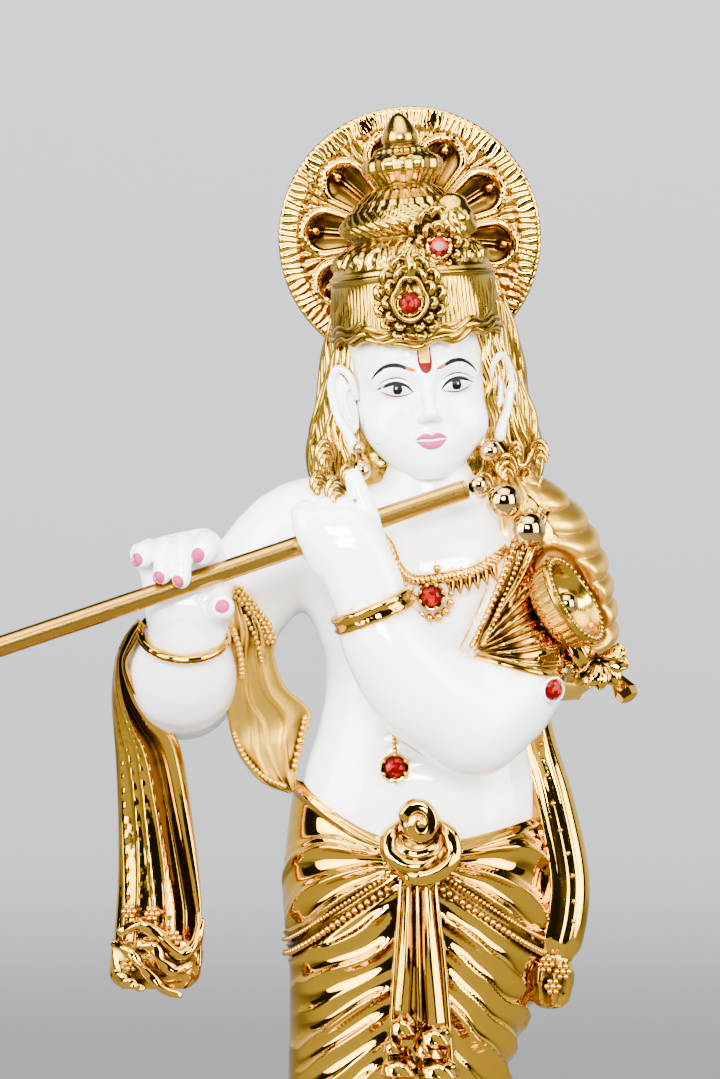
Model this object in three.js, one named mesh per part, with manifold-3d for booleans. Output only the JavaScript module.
// Krishna figure with a flute, millimetres, +Z up, the face looks along -Y, origin under the base.
import * as THREE from "three";
import { mergeVertices } from "three/addons/utils/BufferGeometryUtils.js";
import Module from "manifold-3d";

const wasm = await Module();
wasm.setup();

// Driving sizes.
const CLEARANCE = 0.3;
const BASE_RADIUS = 36;
const BASE_HEIGHT = 9;
const BASE_STEP = 2.2;
const FIGURE_HEIGHT = 274.6;
const HALO_RADIUS = 26.7;
const HALO_THICKNESS = 2.4;
const HALO_RIM_HEIGHT = 0.7;
const HALO_PETALS = 11;
const FLUTE_LENGTH = 116;
const FLUTE_RADIUS = 2.05;
const FLUTE_BORE_RADIUS = 1.45;
const UPPER_BEAD_RADIUS = 2.1;
const MIDDLE_BEAD_RADIUS = 3.5;
const LOWER_BEAD_RADIUS = 3.6;
const BELL_RADIUS = 9.8;
const BELL_DEPTH = 7;
const BELL_WALL = 1.6;
const CLAPPER_RADIUS = 2.6;
const DROP_RADIUS = 2.5;
const DROP_LENGTH = 5.6;
const STONE_RADIUS = 2.1;
const STONE_HEIGHT = 1.5;
const STONE_SEAT_DEPTH = 0.7;

// The pose is drawn for a figure this tall, feet at zero; every share of it follows FIGURE_HEIGHT.
const DRAWN_HEIGHT = 274.6;
const SHARE = FIGURE_HEIGHT / DRAWN_HEIGHT;
const LEAN = -0.087;
const FULL_TURN = Math.PI * 2;

const GOLD = 0xd9a63c;
const WHITE = 0xf4f1ee;
const BRASS = 0xb98f3e;
const RED = 0xb3140f;

// A point of the drawn figure, in the frame of the whole object.
function place(x, y, z) {
  return new THREE.Vector3(x * SHARE, y * SHARE, z * SHARE + BASE_HEIGHT);
}

// The value at t (0 to 1) of a smooth curve through evenly spaced values.
function smoothValue(values, t) {
  const spot = t * (values.length - 1);
  const low = Math.min(Math.floor(spot), values.length - 2);
  const before = values[Math.max(low - 1, 0)];
  const after = values[Math.min(low + 2, values.length - 1)];
  return THREE.MathUtils.lerp(values[low], values[low + 1], spot - low)
    + bulge(spot - low, before, values[low], values[low + 1], after);
}

// What a smooth curve adds to the straight line between two values.
function bulge(f, before, from, to, after) {
  const startSlope = (to - before) / 2;
  const endSlope = (after - from) / 2;
  const rise = to - from;
  return f * (1 - f) * ((1 - f) * (startSlope - rise) - f * (endSlope - rise));
}

// A closed body through rings of points, its ends closed on a middle point.
function bodyOfRings(rings, firstTip, lastTip) {
  const sides = rings[0].length;
  const points = [firstTip, ...rings.flat(), lastTip];
  const last = points.length - 1;
  const faces = [];
  for (let side = 0; side < sides; side++) {
    const next = (side + 1) % sides;
    faces.push(0, 1 + next, 1 + side);
    for (let ring = 0; ring < rings.length - 1; ring++) {
      const a = 1 + ring * sides + side;
      const b = 1 + ring * sides + next;
      const falls = points[a].distanceTo(points[b + sides]);
      const climbs = points[b].distanceTo(points[a + sides]);
      if (falls < climbs) faces.push(a, b, b + sides, a, b + sides, a + sides);
      else faces.push(a, b, a + sides, b, b + sides, a + sides);
    }
    faces.push(last, last - sides + side, last - sides + next);
  }
  const geometry = new THREE.BufferGeometry().setFromPoints(points);
  geometry.setIndex(faces);
  return solidOf(geometry);
}

// A geometry as a solid that can be joined and cut.
function solidOf(geometry) {
  const bare = geometry.clone();
  bare.deleteAttribute("normal");
  bare.deleteAttribute("uv");
  const merged = mergeVertices(bare, 1e-4);
  const corners = merged.attributes.position;
  const triVerts = new Uint32Array(merged.index.array);
  const made = new wasm.Manifold(new wasm.Mesh({
    numProp: 3,
    vertProperties: new Float32Array(corners.array),
    triVerts,
  }));
  if (made.volume() > 0) return made;
  for (let i = 0; i < triVerts.length; i += 3) {
    [triVerts[i + 1], triVerts[i + 2]] = [triVerts[i + 2], triVerts[i + 1]];
  }
  return new wasm.Manifold(new wasm.Mesh({
    numProp: 3,
    vertProperties: new Float32Array(corners.array),
    triVerts,
  }));
}

function joined(solids) {
  return solids.reduce((all, one) => all.add(one));
}

// A casting is solid right through, so pockets closed in by its joined forms are filled.
function filled(solid) {
  return joined(solid.decompose().filter((body) => body.volume() > 0));
}

// Radius factor of a rounded box outline: 2 is an ellipse, more is squarer.
function outline(angle, square) {
  const across = Math.abs(Math.cos(angle)) ** square;
  const along = Math.abs(Math.sin(angle)) ** square;
  return (across + along) ** (-1 / square);
}

// A level form: stations {z, x, y, wide, deep} are flat rings, bump pushes the skin in or out.
function stack(stations, options = {}) {
  const { sides = 16, steps = 2, square = 2, bump, rise, turn } = options;
  const pick = (key, t) => smoothValue(stations.map((one) => one[key] ?? 0), t);
  const count = (stations.length - 1) * steps;
  const rings = [];
  for (let ring = 0; ring <= count; ring++) {
    const t = ring / count;
    const z = pick("z", t);
    const points = [];
    for (let side = 0; side < sides; side++) {
      const angle = (side / sides) * FULL_TURN;
      const lift = rise ? rise(angle, t) : 0;
      const out = bump ? bump(angle, z + lift, t) : 0;
      const reach = outline(angle, square);
      const x = pick("x", t) + Math.cos(angle) * (pick("wide", t) * reach + out);
      const y = pick("y", t) + Math.sin(angle) * (pick("deep", t) * reach + out);
      points.push(new THREE.Vector3(x, y, z + lift));
    }
    rings.push(points);
  }
  const tips = [rings[0], rings[count]].map(middleOf);
  for (const point of [...rings.flat(), ...tips]) {
    if (turn) point.applyMatrix4(turn);
    point.copy(place(point.x, point.y, point.z));
  }
  return bodyOfRings(rings, tips[0], tips[1]);
}

function middleOf(points) {
  const middle = new THREE.Vector3();
  points.forEach((point) => middle.add(point));
  return middle.divideScalar(points.length);
}

// A form along a bent line: stations {at, wide, deep}; wide is measured towards `across`.
function limb(stations, options = {}) {
  const { across = [1, 0, 0], sides = 10, steps = 2, square = 2, round = 0.8, bump } = options;
  const line = new THREE.CatmullRomCurve3(stations.map((one) => new THREE.Vector3(...one.at)));
  const count = (stations.length - 1) * steps;
  const pick = (key, t) => smoothValue(stations.map((one) => one[key] ?? one.wide), t);
  const reference = new THREE.Vector3(...across);
  const ringAt = (t, scale, shift) => {
    const along = line.getTangent(t);
    const centre = line.getPoint(t).addScaledVector(along, shift);
    const u = reference.clone().addScaledVector(along, -reference.dot(along)).normalize();
    const v = along.clone().cross(u);
    const points = [];
    for (let side = 0; side < sides; side++) {
      const angle = (side / sides) * FULL_TURN;
      const out = bump ? bump(angle, t) : 0;
      const reach = outline(angle, square);
      const wide = (pick("wide", t) * reach + out) * scale;
      const deep = (pick("deep", t) * reach + out) * scale;
      const point = centre.clone();
      point.addScaledVector(u, Math.cos(angle) * wide);
      point.addScaledVector(v, Math.sin(angle) * deep);
      points.push(place(point.x, point.y, point.z));
    }
    return points;
  };
  const tipAt = (t, side) => {
    const reach = Math.min(pick("wide", t), pick("deep", t)) * round;
    const point = line.getPoint(t).addScaledVector(line.getTangent(t), side * reach);
    return place(point.x, point.y, point.z);
  };
  const endReach = (t, share) => Math.min(pick("wide", t), pick("deep", t)) * round * share;
  const rings = [];
  if (round > 0) rings.push(ringAt(0, 0.72, -endReach(0, 0.7)));
  for (let ring = 0; ring <= count; ring++) rings.push(ringAt(ring / count, 1, 0));
  if (round > 0) rings.push(ringAt(1, 0.72, endReach(1, 0.7)));
  return bodyOfRings(rings, tipAt(0, -1), tipAt(1, 1));
}

function ellipsoid(at, radii, sides = 12) {
  const ball = new THREE.SphereGeometry(1, sides, Math.round(sides * 0.6));
  ball.rotateX(Math.PI / 2);
  ball.scale(radii[0] * SHARE, radii[1] * SHARE, radii[2] * SHARE);
  const centre = place(...at);
  ball.translate(centre.x, centre.y, centre.z);
  return solidOf(ball);
}

// The turn from the head's upright frame (chin at zero) to its lean and gaze.
const CHIN = [2.4, 0, 201.4];
const HEAD_TURN = new THREE.Matrix4()
  .makeTranslation(...CHIN)
  .multiply(new THREE.Matrix4().makeRotationY(LEAN))
  .multiply(new THREE.Matrix4().makeRotationZ(0.1));

function head() {
  const levels = [
    { z: 0, y: -7.5, wide: 3.4, deep: 3.6 },
    { z: 2.5, y: -6.2, wide: 7.2, deep: 7 },
    { z: 6, y: -4, wide: 10.2, deep: 9.8 },
    { z: 11, y: -1.6, wide: 12.8, deep: 12.4 },
    { z: 17, y: -0.2, wide: 13.8, deep: 13.8 },
    { z: 23, y: 0.6, wide: 14.2, deep: 14.6 },
    { z: 29, y: 0.8, wide: 14, deep: 14.4 },
    { z: 36, y: 0.8, wide: 12, deep: 12 },
  ];
  const nose = [
    { z: 11.3, y: -14.6, wide: 1.4, deep: 1 },
    { z: 12.6, y: -14.7, wide: 2, deep: 2.4 },
    { z: 15, y: -14.3, wide: 1.4, deep: 1.9 },
    { z: 19, y: -13.8, wide: 1.2, deep: 1.1 },
  ];
  const lips = [
    { z: 6.4, y: -13, wide: 2, deep: 1.1 },
    { z: 8, y: -13.2, wide: 3, deep: 1.5 },
    { z: 9.4, y: -13.4, wide: 2, deep: 1 },
  ];
  return joined([
    stack(levels, { sides: 14, steps: 1, turn: HEAD_TURN }),
    stack(nose, { sides: 6, turn: HEAD_TURN, steps: 1 }),
    stack(lips, { sides: 5, turn: HEAD_TURN, steps: 1 }),
    ear(-1),
    ear(1),
  ]);
}

function ear(side) {
  const levels = [
    { z: 9.5, x: side * 14.2, y: 0.6, wide: 1, deep: 1.3 },
    { z: 12.5, x: side * 14.8, y: 0.8, wide: 1.5, deep: 2.2 },
    { z: 18, x: side * 15.6, y: 1.6, wide: 1.6, deep: 3.4 },
    { z: 22.5, x: side * 15.6, y: 2, wide: 1.3, deep: 2.6 },
  ];
  return stack(levels, { sides: 6, steps: 1, turn: HEAD_TURN });
}

function neck() {
  const levels = [
    { z: 188, x: 3, y: 1, wide: 12, deep: 9.5 },
    { z: 196, x: 3, y: 0, wide: 10, deep: 9 },
    { z: 204, x: 2.6, y: 0, wide: 9.2, deep: 9 },
    { z: 212, x: 2.2, y: 1, wide: 9, deep: 9 },
  ];
  return stack(levels, { sides: 12, steps: 1 });
}

function torso() {
  const levels = [
    { z: 124, x: 0, y: 1, wide: 24.5, deep: 16 },
    { z: 137, x: 0.5, y: 1, wide: 24.2, deep: 14.8 },
    { z: 144, x: 0.7, y: 1, wide: 23, deep: 13.6 },
    { z: 153, x: 1, y: 1, wide: 20.4, deep: 12.6 },
    { z: 163, x: 1.5, y: 0.5, wide: 19.5, deep: 12.6 },
    { z: 173, x: 1, y: 0, wide: 22, deep: 13.4 },
    { z: 183, x: 1, y: 0, wide: 25, deep: 13.2 },
    { z: 191, x: 1.5, y: 0.5, wide: 25.5, deep: 11 },
    { z: 197, x: 2.5, y: 1, wide: 19, deep: 8.6 },
    { z: 201, x: 3, y: 1.5, wide: 10, deep: 7.5 },
  ];
  return stack(levels, { sides: 14, steps: 1, square: 2.3 });
}

// Strands run down the hair, one crest for every second side of its rings.
const HAIR_SIDES = 24;

function strands(angle) {
  return 0.6 * Math.cos((HAIR_SIDES / 2) * angle);
}

function hair() {
  const mass = [
    { z: 178, x: 1, y: 10, wide: 8, deep: 4.5 },
    { z: 186, x: 1, y: 8.5, wide: 15, deep: 7.5 },
    { z: 194, x: 1.6, y: 7.4, wide: 20.8, deep: 10.5 },
    { z: 202, x: 2, y: 6.8, wide: 23.2, deep: 12 },
    { z: 211, x: 2, y: 6.2, wide: 23, deep: 12.6 },
    { z: 221, x: 1.4, y: 5.6, wide: 20.8, deep: 13.2 },
    { z: 230, x: 1.1, y: 5, wide: 19, deep: 13.6 },
    { z: 237, x: 0.6, y: 4, wide: 16, deep: 13 },
  ];
  const lock = (at, lean) => limb([
    { at: [at[0], at[1], at[2]], wide: 3.2 },
    { at: [at[0] + lean, at[1] - 2, at[2] - 7], wide: 3.4 },
    { at: [at[0] + lean * 0.4, at[1] - 3, at[2] - 14], wide: 2.6 },
    { at: [at[0] + lean * 1.6, at[1] - 3, at[2] - 18], wide: 1.4 },
  ], { sides: 5, steps: 1 });
  return joined([
    stack(mass, { sides: HAIR_SIDES, steps: 1, bump: strands }),
    lock([-14, -2, 212], 3),
    lock([-9.5, -4, 209], 2),
    lock([22.5, 0, 208], 2),
  ]);
}

// The crown's frame: its foot on the head, leaning with it.
const CROWN_TURN = new THREE.Matrix4()
  .makeTranslation(0.3, 0.6, 231.6)
  .multiply(new THREE.Matrix4().makeRotationY(LEAN));

const CROWN_SIDES = 18;

function crown() {
  const profile = [
    [-2.4, 15.6], [-0.6, 16.7], [8.4, 16.3], [9.8, 16.7], [11.2, 15.9],
    [14.4, 14.8], [17.2, 12.2], [18.6, 12], [19.6, 13.4], [21, 13.2], [23, 10.8],
    [26.6, 6.4], [28.4, 6.5], [30, 7.8], [32, 7.9], [34.6, 5],
    [36.4, 4], [39.6, 3.8], [41.6, 2.8], [43, 0.8],
  ];
  const levels = profile.map(([z, radius]) => ({ z, wide: radius, deep: radius }));
  const ropeTier = { low: 18.6, high: 23 };
  const bump = (angle, z) => {
    if (z < ropeTier.low || z > ropeTier.high) return 0;
    return 0.35 * Math.cos((CROWN_SIDES / 2) * angle);
  };
  const rise = (angle, t) => (t > 0.03 ? 0 : -2.2 * Math.max(0, -Math.sin(angle)) ** 6);
  return joined([
    stack(levels, { sides: CROWN_SIDES, steps: 1, bump, rise, turn: CROWN_TURN }),
    plaque(),
    ellipsoid([6.6, -9.4, 252.4], [4.2, 4.4, 6.2], 8),
  ]);
}

// The flame-shaped plaque on the crown's front.
function plaque() {
  const levels = [
    { z: 0, y: -16.6, wide: 2.6, deep: 1.3 },
    { z: 3, y: -17, wide: 6.6, deep: 1.7 },
    { z: 6, y: -16.9, wide: 7.2, deep: 1.7 },
    { z: 9, y: -16, wide: 4.6, deep: 1.6 },
    { z: 12.6, y: -15, wide: 1, deep: 1 },
  ];
  return stack(levels, { sides: 8, steps: 1, turn: CROWN_TURN });
}

function rightArm() {
  return joined([
    limb([
      { at: [-16, 2, 192], wide: 10.4 },
      { at: [-25, 2.4, 188.8], wide: 10.8 },
      { at: [-36, 4, 175.4], wide: 10.4 },
      { at: [-46.5, 4, 160], wide: 10.6 },
    ], { across: [0, 1, 0], sides: 10, steps: 1 }),
    limb([
      { at: [-46.8, 3, 160], wide: 11 },
      { at: [-46.6, -9, 162.5], wide: 11.2 },
      { at: [-46.2, -19, 168.5], wide: 9.2, deep: 8.6 },
      { at: [-46, -22, 175], wide: 8.8, deep: 6.4 },
    ], { sides: 10, steps: 1 }),
  ]);
}

// The open hand behind the flute: a palm, four fingers bent over the flute, and a thumb.
function rightHand() {
  const finger = (x, top, tip, reach) => limb([
    { at: [x, -20.6, top - 4.4], wide: 2.3 },
    { at: [x, -25.6, top - 2.2], wide: 2.3 },
    { at: [x, reach, tip + 1.8], wide: 1.9 },
  ], { sides: 5, steps: 1 });
  return joined([
    stack([
      { z: 171, x: -46, y: -21.5, wide: 9, deep: 6 },
      { z: 177, x: -46.5, y: -21.2, wide: 9.8, deep: 5.2 },
      { z: 183, x: -47, y: -20.4, wide: 9.8, deep: 4.4 },
      { z: 188.4, x: -47.2, y: -19.8, wide: 8.6, deep: 3 },
    ], { sides: 10, square: 2.6, steps: 1 }),
    finger(-54.8, 189.6, 182.8, -30),
    finger(-50.6, 190, 180.2, -31.4),
    finger(-46.4, 190.6, 178.8, -32),
    finger(-41.6, 190.8, 183.2, -30.4),
    limb([
      { at: [-41, -19, 173.6], wide: 3.4 },
      { at: [-38.8, -23, 175.2], wide: 3 },
      { at: [-38, -27.4, 176], wide: 2.4 },
    ], { sides: 6, steps: 1 }),
  ]);
}

function leftArm() {
  return joined([
    limb([
      { at: [24, 0, 188], wide: 10.6 },
      { at: [24, -7, 174], wide: 11 },
      { at: [19.5, -15.5, 160.5], wide: 11.4 },
      { at: [11, -19.6, 153.6], wide: 11 },
    ], { across: [0, 1, 0], sides: 10, steps: 1 }),
    limb([
      { at: [11, -19.6, 153.6], wide: 11.2 },
      { at: [1.6, -22.4, 159.6], wide: 11 },
      { at: [-5.4, -24.4, 168.4], wide: 9.2 },
      { at: [-9.4, -25, 176.6], wide: 7.6 },
    ], { across: [0, 1, 0], sides: 10, steps: 1 }),
  ]);
}

// The closed hand in front of the flute, its back to the viewer.
function leftHand() {
  const knuckle = (x, top) => limb([
    { at: [x + 0.6, -27.4, top - 8], wide: 2.6 },
    { at: [x, -26, top - 2.2], wide: 2.5 },
    { at: [x + 0.4, -18.4, top - 5], wide: 2.2 },
  ], { sides: 5, steps: 1 });
  return joined([
    limb([
      { at: [-9.4, -25, 174], wide: 7.8, deep: 6.2 },
      { at: [-11.2, -25.2, 181], wide: 8.8, deep: 5.8 },
      { at: [-13.4, -25.2, 188], wide: 9.2, deep: 5.2 },
      { at: [-14.2, -24.6, 193], wide: 8.8, deep: 4.2 },
    ], { sides: 10, steps: 1, square: 2.8, round: 0.4 }),
    knuckle(-20.6, 197.4),
    knuckle(-16.4, 198),
    knuckle(-12.4, 197.6),
    limb([
      { at: [-8.6, -26, 186], wide: 2.8 },
      { at: [-9.8, -24.6, 193.6], wide: 2.5 },
      { at: [-11.8, -23.8, 199.6], wide: 2.1 },
    ], { sides: 6, steps: 1 }),
  ]);
}

// Rolled pleats of the shawl over the shoulder, slanting down to its outer side.
function shawl() {
  const rollPitch = 5.2;
  const levels = [
    { z: 157, x: 26.4, y: 2, wide: 6, deep: 7.4 },
    { z: 163, x: 27.4, y: 1, wide: 10.6, deep: 11 },
    { z: 170, x: 27.2, y: -0.5, wide: 13, deep: 12.8 },
    { z: 178, x: 26.4, y: -0.5, wide: 13.2, deep: 12.8 },
    { z: 186, x: 25, y: 0, wide: 12.8, deep: 12.2 },
    { z: 193, x: 23.6, y: 0.5, wide: 11, deep: 11 },
    { z: 198, x: 22, y: 1, wide: 8.4, deep: 9 },
    { z: 201.6, x: 20.4, y: 1, wide: 5, deep: 5.6 },
  ];
  const bump = (angle, z) => {
    const drift = 3 * Math.cos(angle);
    return 1.4 * Math.abs(Math.sin((Math.PI * (z + drift)) / rollPitch)) - 0.4;
  };
  return stack(levels, { sides: 12, steps: 3, bump });
}

// Folds that run along a hanging cloth.
function clothFolds(count, depth) {
  return (angle) => depth * Math.cos(count * angle);
}

function hangingScarf() {
  return limb([
    { at: [-52.6, -9, 171], wide: 5, deep: 3 },
    { at: [-55.4, 0, 160], wide: 6, deep: 3.6 },
    { at: [-53.8, 2, 148], wide: 7.2, deep: 4 },
    { at: [-52, 1.6, 134], wide: 7.8, deep: 3.8 },
    { at: [-50.8, 1, 121], wide: 8.6, deep: 4 },
    { at: [-51, 0.6, 109], wide: 9, deep: 4.6 },
    { at: [-50, 0.4, 102], wide: 7.4, deep: 4.6 },
  ], { sides: 14, steps: 1, square: 3, round: 0.4, bump: clothFolds(4, 0.5) });
}

function waistScarf() {
  return limb([
    { at: [-44, 8, 168], wide: 11, deep: 3.4 },
    { at: [-37.9, 6, 165.5], wide: 13.2, deep: 2.8 },
    { at: [-31.6, 3.6, 157.8], wide: 12.6, deep: 2.4 },
    { at: [-28, 2, 150.4], wide: 9.4, deep: 2.4 },
    { at: [-21, 0.6, 147], wide: 8.4, deep: 2.4 },
  ], { across: [0.3, 0, 1], sides: 12, steps: 1, square: 3, round: 0.4, bump: clothFolds(3, 0.35) });
}

function sideScarf() {
  return limb([
    { at: [21.6, 6, 160], wide: 4.4, deep: 4.4 },
    { at: [23.8, 5, 148], wide: 4.6, deep: 4.4 },
    { at: [27, 3.4, 137], wide: 4.8, deep: 4.4 },
    { at: [29.8, 2, 123], wide: 5, deep: 4.6 },
    { at: [29.6, 1, 114], wide: 5, deep: 4.6 },
    { at: [27.4, 0, 104], wide: 4.6, deep: 4.4 },
    { at: [27, -0.4, 98.6], wide: 3.4, deep: 3.4 },
  ], { sides: 10, steps: 1, square: 2.8, round: 0.5 });
}

const KNOT_HEIGHT = 126;
const SWAG_PITCH = 8.4;

// Swags that fall from the knot to both hips, flatter towards the sides.
function dhotiFolds(angle, z) {
  const side = Math.abs(Math.cos(angle));
  const front = 0.5 - 0.5 * Math.sin(angle);
  const below = KNOT_HEIGHT - z;
  const fall = 15 * Math.sin(side * 1.35);
  const depth = 0.35 + 0.75 * front;
  return depth * Math.cos((FULL_TURN * (below - fall)) / SWAG_PITCH);
}

function dhoti() {
  const levels = [
    { z: 13, x: -2.4, y: 1, wide: 17, deep: 13.6 },
    { z: 27, x: -2.8, y: 1, wide: 16.6, deep: 13.2 },
    { z: 41, x: -3.4, y: 1, wide: 17.8, deep: 13.6 },
    { z: 55, x: -4, y: 1, wide: 19.6, deep: 14.4 },
    { z: 69, x: -4.1, y: 1, wide: 21.3, deep: 15 },
    { z: 82, x: -3.6, y: 1, wide: 22.6, deep: 15.8 },
    { z: 94, x: -1.4, y: 1, wide: 24.6, deep: 16.6 },
    { z: 106, x: 0, y: 1, wide: 26.2, deep: 17.4 },
    { z: 117, x: -0.2, y: 1, wide: 27.2, deep: 17.8 },
    { z: 126, x: 0, y: 1, wide: 26.6, deep: 17.2 },
    { z: 133.5, x: 0.2, y: 1, wide: 25.2, deep: 15.8 },
  ];
  const rise = (angle, t) => {
    const top = Math.max(0, t * 5 - 4);
    const left = Math.max(0, -Math.cos(angle)) ** 2;
    const front = Math.max(0, -Math.sin(angle)) ** 3;
    return top * (8 * left - 5 * front);
  };
  return stack(levels, { sides: 20, steps: 2, bump: dhotiFolds, rise });
}

function knot() {
  const wing = (side) => limb([
    { at: [side * 1, -18.4, 124.6], wide: 2.6 },
    { at: [side * 5 + 0.8, -18.2, 125.4], wide: 3 },
    { at: [side * 6.6 + 0.8, -17, 129.4], wide: 2.2 },
  ], { sides: 6, steps: 1 });
  return joined([
    ellipsoid([0.7, -16.6, 132.6], [4.8, 3.4, 5], 6),
    ellipsoid([0.9, -17, 125.8], [7.4, 3.2, 4.4], 6),
    wing(-1),
    wing(1),
  ]);
}

// The bunch of pleats that falls from the knot, its folded hem, and the cloth between the legs.
function pleats() {
  const levels = [
    { z: 82, x: 0.9, y: -13.8, wide: 7.2, deep: 3.6 },
    { z: 92, x: 0.7, y: -15, wide: 7.4, deep: 4 },
    { z: 99, x: 0.5, y: -15.6, wide: 6, deep: 3.6 },
    { z: 112, x: 0.4, y: -16.6, wide: 5.8, deep: 3.4 },
    { z: 124, x: 0.6, y: -16.8, wide: 3.8, deep: 2.8 },
  ];
  return stack(levels, { sides: 14, steps: 1, square: 3, bump: (angle) => 0.4 * Math.cos(7 * angle) });
}

// A bar that lies on the hips from the knot to the side, for the belt of beads.
function belt(side) {
  const stations = [];
  for (let step = 0; step <= 4; step++) {
    const share = step / 4;
    const angle = -Math.PI / 2 + side * (0.12 + share * 1.25);
    const height = 124 - 15 * Math.sin(share * 1.5);
    const radius = 1.0 - 0.02 * share;
    stations.push({
      at: [27.4 * radius * Math.cos(angle), 1 + 18.6 * radius * Math.sin(angle), height],
      wide: 1.1,
    });
  }
  return limb(stations, { across: [0, 0, 1], sides: 4, steps: 1, round: 0 });
}

// A band round a wrist or an arm: a closed ring about the line from `from` towards `to`.
function bangle(at, direction, radius, thick) {
  const ring = new THREE.TorusGeometry(radius * SHARE, thick * SHARE, 3, 10);
  ring.scale(1, 1, 1.6);
  const turn = new THREE.Quaternion().setFromUnitVectors(
    new THREE.Vector3(0, 0, 1),
    new THREE.Vector3(...direction).normalize(),
  );
  ring.applyQuaternion(turn);
  const centre = place(...at);
  ring.translate(centre.x, centre.y, centre.z);
  return solidOf(ring);
}

function jewellery() {
  const collar = [];
  for (let step = 0; step <= 6; step++) {
    const angle = Math.PI + (step / 6) * Math.PI;
    collar.push({
      at: [3.4 + 11.6 * Math.cos(angle), -4 + 8.6 * Math.sin(angle), 190 + 9.6 * (1 + Math.sin(angle)) - 10],
      wide: 1.2,
    });
  }
  return joined([
    limb(collar, { across: [0, 0, 1], sides: 4, steps: 1, round: 0 }),
    bangle([-46.2, -18.4, 168.6], [0.05, -0.55, 0.8], 9.2, 0.8),
    bangle([-8.4, -24.8, 175.2], [-0.42, -0.1, 1], 8, 1.2),
  ]);
}

function feet() {
  const foot = (x, y, toe) => joined([
    limb([
      { at: [x, y, 20], wide: 4.6 },
      { at: [x, y - 1, 5], wide: 4 },
    ], { sides: 6, steps: 1 }),
    limb([
      { at: [x, y + 2.6, 3.6], wide: 3.8, deep: 3.6 },
      { at: [x + toe * 0.3, y - 5, 4.2], wide: 4.6, deep: 4 },
      { at: [x + toe * 0.8, y - 13, 2.6], wide: 5.2, deep: 2.6 },
      { at: [x + toe, y - 17, 2], wide: 4.2, deep: 2 },
    ], { sides: 6, steps: 1 }),
  ]);
  return joined([foot(5, 3, 3), foot(-9, -1, -3)]);
}

// What rests on a flat seat is cut off level, a clearance above it.
function cutLevel(solid) {
  const size = 4 * (BASE_RADIUS + FIGURE_HEIGHT);
  const block = new THREE.BoxGeometry(size, size, size);
  block.translate(0, 0, BASE_HEIGHT + CLEARANCE - size / 2);
  return solid.subtract(solidOf(block));
}

// The flute's line: its mouth end beside the chin, falling to the figure's right hand.
const FLUTE_END = place(10, -16, 199);
const FLUTE_FALL = new THREE.Vector3(-0.9229, -0.2141, -0.3116).normalize();

// A round body turned about a line that starts at `from` and runs along `direction`.
function turned(profile, from, direction, sides) {
  const points = profile.map(([radius, along]) => new THREE.Vector2(radius, along));
  const body = new THREE.LatheGeometry(points, sides);
  const turn = new THREE.Quaternion().setFromUnitVectors(new THREE.Vector3(0, 1, 0), direction);
  body.applyQuaternion(turn);
  body.translate(from.x, from.y, from.z);
  return solidOf(body);
}

function flute() {
  const profile = [
    [FLUTE_BORE_RADIUS, 0],
    [FLUTE_RADIUS, 0],
    [FLUTE_RADIUS, FLUTE_LENGTH],
    [FLUTE_BORE_RADIUS, FLUTE_LENGTH],
    [FLUTE_BORE_RADIUS, 0],
  ];
  return turned(profile, FLUTE_END, FLUTE_FALL, 12);
}

// The room that the hands leave for the flute.
function fluteRoom() {
  const room = FLUTE_RADIUS + CLEARANCE;
  const profile = [[0, -CLEARANCE], [room, -CLEARANCE], [room, FLUTE_LENGTH + 1], [0, FLUTE_LENGTH + 1]];
  return turned(profile, FLUTE_END, FLUTE_FALL, 12);
}

// The row of balls starts a clearance past the flute's mouth end.
const BEAD_STEP_A = new THREE.Vector3(0.84, 0, -0.54).normalize();
const BEAD_STEP_B = new THREE.Vector3(0.64, 0, -0.77).normalize();
const UPPER_BEAD_AT = FLUTE_END.clone()
  .addScaledVector(FLUTE_FALL, -(UPPER_BEAD_RADIUS + 1.5 * CLEARANCE));
const MIDDLE_BEAD_AT = UPPER_BEAD_AT.clone()
  .addScaledVector(BEAD_STEP_A, UPPER_BEAD_RADIUS + MIDDLE_BEAD_RADIUS + CLEARANCE);
const LOWER_BEAD_AT = MIDDLE_BEAD_AT.clone()
  .addScaledVector(BEAD_STEP_B, MIDDLE_BEAD_RADIUS + LOWER_BEAD_RADIUS + CLEARANCE);

function ball(centre, radius) {
  const body = new THREE.SphereGeometry(radius, 10, 6);
  body.translate(centre.x, centre.y, centre.z);
  return solidOf(body);
}

const BELL_AXIS = new THREE.Vector3(0.8, -0.36, 0.48).normalize();
const BELL_MOUTH = place(31.6, -15.5, 177.4);

function bell() {
  const inside = BELL_RADIUS - BELL_WALL;
  const profile = [
    [0, -BELL_DEPTH],
    [BELL_RADIUS * 0.55, -BELL_DEPTH],
    [BELL_RADIUS * 0.86, -BELL_DEPTH * 0.72],
    [BELL_RADIUS * 0.94, -BELL_WALL],
    [BELL_RADIUS, -BELL_WALL * 0.8],
    [BELL_RADIUS, 0],
    [inside, 0],
    [inside * 0.86, -(BELL_DEPTH - BELL_WALL) * 0.7],
    [0, -(BELL_DEPTH - BELL_WALL)],
  ];
  return turned(profile, BELL_MOUTH, BELL_AXIS, 16);
}

// The room that the shawl leaves for the bell.
function bellRoom() {
  const room = BELL_RADIUS + CLEARANCE;
  const reach = 20;
  const profile = [[0, -BELL_DEPTH - CLEARANCE], [room, -BELL_DEPTH - CLEARANCE], [room, reach], [0, reach]];
  return turned(profile, BELL_MOUTH, BELL_AXIS, 16);
}

const CLAPPER_AT = BELL_MOUTH.clone()
  .addScaledVector(BELL_AXIS, -(BELL_DEPTH - BELL_WALL) + CLAPPER_RADIUS + CLEARANCE);

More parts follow.
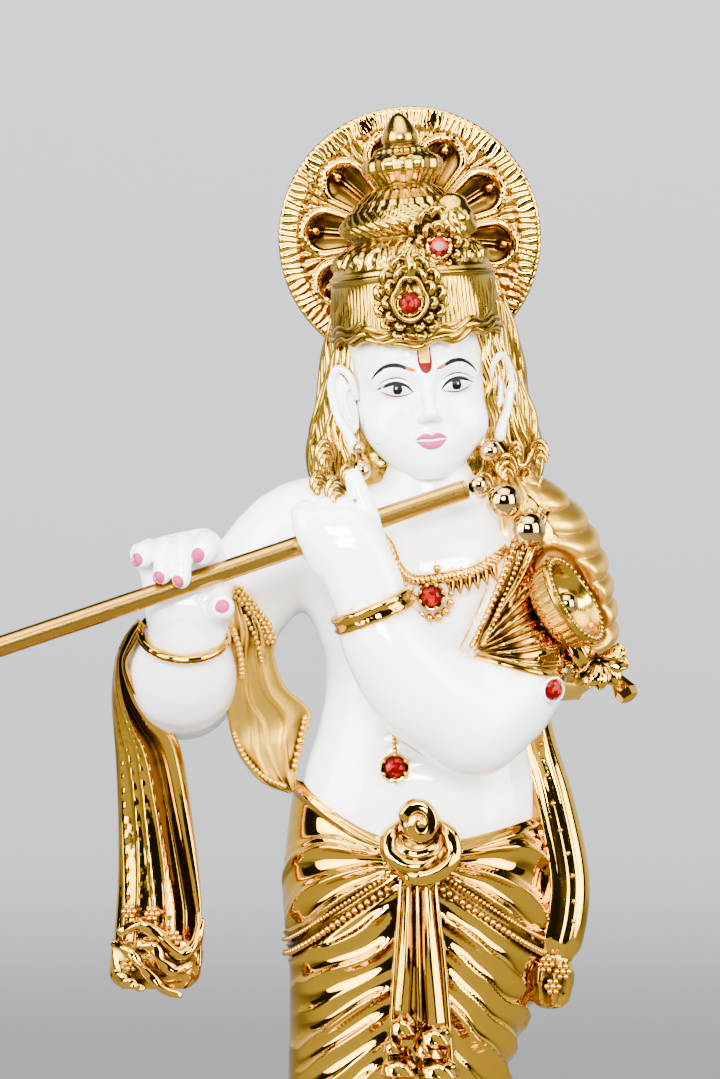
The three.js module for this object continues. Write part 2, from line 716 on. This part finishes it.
// Leaves spread round the bell's lower rim, with a faceted drop at their outer end.
const DROP_AT = place(39.8, -12.9, 161.6);
const DROP_AXIS = new THREE.Vector3(0.5, -0.35, -0.8).normalize();
const LEAF_ROOT = place(36.4, -12.5, 165);
const LEAF_LENGTH = 6.6;
const LEAF_RADIUS = 1.7;
const LEAF_FANS = [[-0.7, -0.35, -0.75], [0.05, -0.6, -0.9], [0.55, -0.35, -0.65], [0.8, -0.4, 0.35]];

function tassel() {
  const drop = [
    [0, -4],
    [DROP_RADIUS * 0.5, -4],
    [DROP_RADIUS * 0.5, 0],
    [DROP_RADIUS, DROP_LENGTH * 0.6],
    [DROP_RADIUS * 0.84, DROP_LENGTH * 0.86],
    [0, DROP_LENGTH],
  ];
  const leaf = [
    [0, 0],
    [LEAF_RADIUS * 0.8, LEAF_LENGTH * 0.12],
    [LEAF_RADIUS, LEAF_LENGTH * 0.55],
    [0, LEAF_LENGTH],
  ];
  const leaves = LEAF_FANS.map((way) => turned(leaf, LEAF_ROOT, new THREE.Vector3(...way).normalize(), 4));
  return joined([turned(drop, DROP_AT, DROP_AXIS, 6), ...leaves]);
}

// Each stone sits in a round setting of the figure, in a seat cut for it.
const STONES = [
  { name: "crown_stone", at: [-1.2, -18.4, 235.5], face: [0, -1, 0] },
  { name: "knob_stone", at: [4.6, -14.4, 246.9], face: [0, -1, 0.15] },
  { name: "necklace_stone", at: [3.1, -14.6, 177.8], face: [0, -1, 0] },
  { name: "pendant_stone", at: [-4.1, -13.4, 144], face: [0, -1, 0] },
  { name: "armlet_stone", at: [27, -23.4, 159.6], face: [0.5, -0.8, -0.1] },
];
const SETTING_RIM = 0.9;
const SETTING_DEPTH = 4.5;

function stone(spot) {
  const profile = [
    [0, -STONE_SEAT_DEPTH],
    [STONE_RADIUS, -STONE_SEAT_DEPTH],
    [STONE_RADIUS, 0],
    [STONE_RADIUS * 0.6, STONE_HEIGHT - STONE_SEAT_DEPTH],
    [0, STONE_HEIGHT - STONE_SEAT_DEPTH],
  ];
  return turned(profile, place(...spot.at), faceOf(spot), 8);
}

function faceOf(spot) {
  return new THREE.Vector3(...spot.face).normalize();
}

function setting(spot) {
  const profile = [
    [0, -SETTING_DEPTH],
    [STONE_RADIUS * 0.8, -SETTING_DEPTH],
    [STONE_RADIUS + SETTING_RIM, -1],
    [STONE_RADIUS + SETTING_RIM, 0],
    [0, 0],
  ];
  return turned(profile, place(...spot.at), faceOf(spot), 8);
}

function stoneRoom(spot) {
  const room = STONE_RADIUS + CLEARANCE;
  const floor = -STONE_SEAT_DEPTH - CLEARANCE;
  const profile = [[0, floor], [room, floor], [room, 6], [0, 6]];
  return turned(profile, place(...spot.at), faceOf(spot), 8);
}

const HALO_AT = place(-0.9, 17.6, 250.4);
const TOWARDS_VIEWER = new THREE.Vector3(0, -1, 0);

// The plate with its raised rim and a ring of raised petals round the crown.
function halo() {
  const rimInside = HALO_RADIUS * 0.83;
  const profile = [
    [0, -HALO_THICKNESS],
    [HALO_RADIUS, -HALO_THICKNESS],
    [HALO_RADIUS, HALO_RIM_HEIGHT * 0.5],
    [rimInside + 1, HALO_RIM_HEIGHT],
    [rimInside, 0],
    [0, 0],
  ];
  const plate = turned(profile, HALO_AT, TOWARDS_VIEWER, 36);
  const petals = [];
  for (let index = 0; index < HALO_PETALS; index++) {
    petals.push(haloPetal((index / HALO_PETALS) * FULL_TURN));
  }
  return joined([plate, ...petals]);
}

function haloPetal(angle) {
  const length = HALO_RADIUS * 0.34;
  const half = HALO_RADIUS * 0.17;
  const body = new THREE.SphereGeometry(1, 6, 3);
  body.scale(half, HALO_RIM_HEIGHT * 1.6, length);
  body.translate(0, 0, HALO_RADIUS * 0.46);
  body.rotateY(angle);
  body.translate(HALO_AT.x, HALO_AT.y, HALO_AT.z);
  return solidOf(body);
}

// The room that the crown and hair leave for the plate.
function haloRoom() {
  const room = HALO_RADIUS + CLEARANCE;
  const front = HALO_RIM_HEIGHT * 1.6 + CLEARANCE;
  const profile = [[0, -40], [room, -40], [room, front], [0, front]];
  return turned(profile, HALO_AT, TOWARDS_VIEWER, 36);
}

function base() {
  const profile = [
    [0, 0],
    [BASE_RADIUS, 0],
    [BASE_RADIUS, BASE_STEP],
    [BASE_RADIUS - BASE_STEP * 0.6, BASE_STEP * 1.5],
    [BASE_RADIUS - BASE_STEP, BASE_HEIGHT - BASE_STEP],
    [BASE_RADIUS - BASE_STEP * 0.8, BASE_HEIGHT],
    [0, BASE_HEIGHT],
  ];
  return turned(profile, new THREE.Vector3(), new THREE.Vector3(0, 0, 1), 24);
}

function figure() {
  const body = joined([
    torso(),
    neck(),
    head(),
    hair(),
    crown(),
    rightArm(),
    rightHand(),
    leftArm(),
    leftHand(),
    shawl(),
    hangingScarf(),
    waistScarf(),
    sideScarf(),
    dhoti(),
    knot(),
    pleats(),
    belt(-1),
    belt(1),
    jewellery(),
    feet(),
    ...STONES.map(setting),
  ]);
  let cut = cutLevel(body);
  const rooms = [fluteRoom(), bellRoom(), haloRoom(), ...STONES.map(stoneRoom)];
  rooms.push(ball(UPPER_BEAD_AT, UPPER_BEAD_RADIUS + CLEARANCE));
  rooms.push(ball(MIDDLE_BEAD_AT, MIDDLE_BEAD_RADIUS + CLEARANCE));
  rooms.push(ball(LOWER_BEAD_AT, LOWER_BEAD_RADIUS + CLEARANCE));
  for (const room of rooms) cut = cut.subtract(room);
  return filled(cut);
}

// A named mesh with its own material.
function piece(name, solid, color, roughness, metalness) {
  const mesh = solid.getMesh();
  const geometry = new THREE.BufferGeometry();
  geometry.setAttribute("position", new THREE.BufferAttribute(new Float32Array(mesh.vertProperties), 3));
  geometry.setIndex(new THREE.BufferAttribute(new Uint32Array(mesh.triVerts), 1));
  geometry.computeVertexNormals();
  const material = new THREE.MeshStandardMaterial({ color, roughness, metalness });
  material.flatShading = true;
  const made = new THREE.Mesh(geometry, material);
  made.name = name;
  return made;
}

const group = new THREE.Group();
group.add(piece("base", base(), GOLD, 0.3, 1));
group.add(piece("figure", figure(), WHITE, 0.2, 0));
group.add(piece("halo_disc", halo(), GOLD, 0.25, 1));
group.add(piece("flute", flute(), BRASS, 0.35, 1));
group.add(piece("upper_bead", ball(UPPER_BEAD_AT, UPPER_BEAD_RADIUS), GOLD, 0.15, 1));
group.add(piece("middle_bead", ball(MIDDLE_BEAD_AT, MIDDLE_BEAD_RADIUS), GOLD, 0.15, 1));
group.add(piece("lower_bead", ball(LOWER_BEAD_AT, LOWER_BEAD_RADIUS), GOLD, 0.15, 1));
group.add(piece("bell", bell(), GOLD, 0.2, 1));
group.add(piece("bell_clapper", ball(CLAPPER_AT, CLAPPER_RADIUS), GOLD, 0.15, 1));
group.add(piece("tassel", tassel(), GOLD, 0.2, 1));
for (const spot of STONES) {
  group.add(piece(spot.name, stone(spot), RED, 0.08, 0));
}

export default group;
